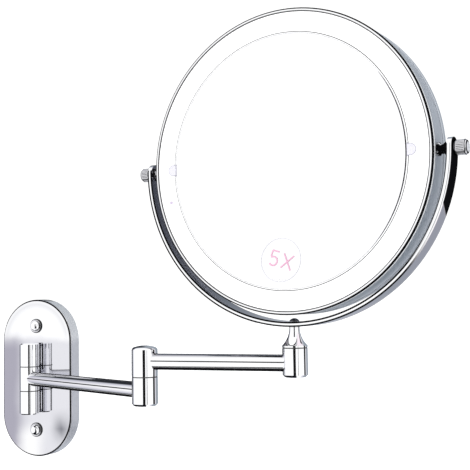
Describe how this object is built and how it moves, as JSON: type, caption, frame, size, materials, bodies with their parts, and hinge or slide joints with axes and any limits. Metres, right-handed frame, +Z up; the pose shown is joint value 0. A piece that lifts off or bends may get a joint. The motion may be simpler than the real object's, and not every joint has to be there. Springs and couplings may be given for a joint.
{
  "type": "extendable shaving mirror",
  "caption": "Round lit double-sided shaving mirror in a tilting yoke on a folding chrome wall arm.",
  "frame": {"origin": "centre of the wall plate's back face", "axes": "+Z up, +Y into the wall, +X to the right as seen from the room; both arms partly opened and the head facing the room"},
  "size_m": [0.4369, 0.1322, 0.3401],
  "materials": {
    "chrome": "polished chrome plate",
    "steel": "plain steel",
    "nylon": "black nylon",
    "tray": "white moulded plastic",
    "board": "white circuit board",
    "lamp": "small square lamps",
    "cell": "dark sleeve on the cells",
    "cradle": "black moulded plastic",
    "cover": "frosted white light cover",
    "clear": "clear plastic",
    "mirror": "silvered glass",
    "foam": "foam tape",
    "sticker": "clear sticker",
    "band": "chrome-plated casing band"
  },
  "bodies": {
    "wall_base": {"wall_plate": "chrome", "wall_screws": "chrome", "screw_washers": "chrome", "hinge_knuckle_upper": "chrome", "hinge_knuckle_lower": "chrome", "bracket_screws": "steel", "hinge_pin": "steel", "hinge_washers": "nylon", "hinge_caps": "chrome"},
    "lower_arm": {"lower_arm_knuckle": "chrome", "lower_arm_tube": "chrome", "elbow_lower_barrel": "chrome", "elbow_cap": "chrome", "elbow_washer": "nylon"},
    "upper_arm": {"elbow_upper_barrel": "chrome", "elbow_pin": "steel", "elbow_spring_washer": "steel", "upper_arm_tube": "chrome", "swivel_barrel": "chrome", "swivel_cap": "chrome", "swivel_washer": "nylon"},
    "yoke": {"swivel_neck": "chrome", "swivel_screw": "steel", "swivel_lock_washer": "steel", "yoke": "chrome", "yoke_screw": "chrome"},
    "head": {"casing_band": "band", "front_trim_ring": "chrome", "back_trim_ring": "chrome", "light_ring_cover": "cover", "glass_bezel": "clear", "light_tray": "tray", "lamp_board": "board", "lamps": "lamp", "battery_cradle": "cradle", "battery_cells": "cell", "battery_contacts": "steel", "control_board": "board", "touch_switch": "clear", "back_glass": "mirror", "back_glass_pad": "foam", "tilt_studs": "steel", "tilt_spacers": "chrome", "tilt_friction_washers": "nylon", "knob_washers": "chrome"},
    "magnifier": {"magnifying_glass": "mirror", "glass_carrier": "clear", "magnifier_sticker": "sticker"},
    "knob_right": {"thumb_knob_right": "chrome"},
    "knob_left": {"thumb_knob_left": "chrome"}
  },
  "joints": [
    {"name": "wall_hinge", "type": "hinge", "parent": "wall_base", "child": "lower_arm", "pos_m": [0, -0.023, 0], "axis": [0, 0, 1], "range_deg": [-156, 23]},
    {"name": "elbow", "type": "hinge", "parent": "lower_arm", "child": "upper_arm", "pos_m": [0.15554, -0.0916, 0], "axis": [0, 0, 1], "range_deg": [-176, 123]},
    {"name": "yoke_swivel", "type": "hinge", "parent": "upper_arm", "child": "yoke", "pos_m": [0.27337, -0.08522, 0], "axis": [0, 0, 1], "continuous": true},
    {"name": "head_tilt", "type": "hinge", "parent": "yoke", "child": "head", "pos_m": [0.27337, -0.08522, 0.1633], "axis": [0.9965, -0.0837, 0], "continuous": true},
    {"name": "magnifier_lift", "type": "slide", "parent": "head", "child": "magnifier", "axis": [-0.0837, -0.9965, 0], "range_m": [0, 0.02]},
    {"name": "right_knob_turn", "type": "hinge", "parent": "head", "child": "knob_right", "pos_m": [0.39494, -0.09543, 0.1633], "axis": [0.9965, -0.0837, 0], "continuous": true},
    {"name": "left_knob_turn", "type": "hinge", "parent": "head", "child": "knob_left", "pos_m": [0.1518, -0.07501, 0.1633], "axis": [0.9965, -0.0837, 0], "continuous": true}
  ]
}
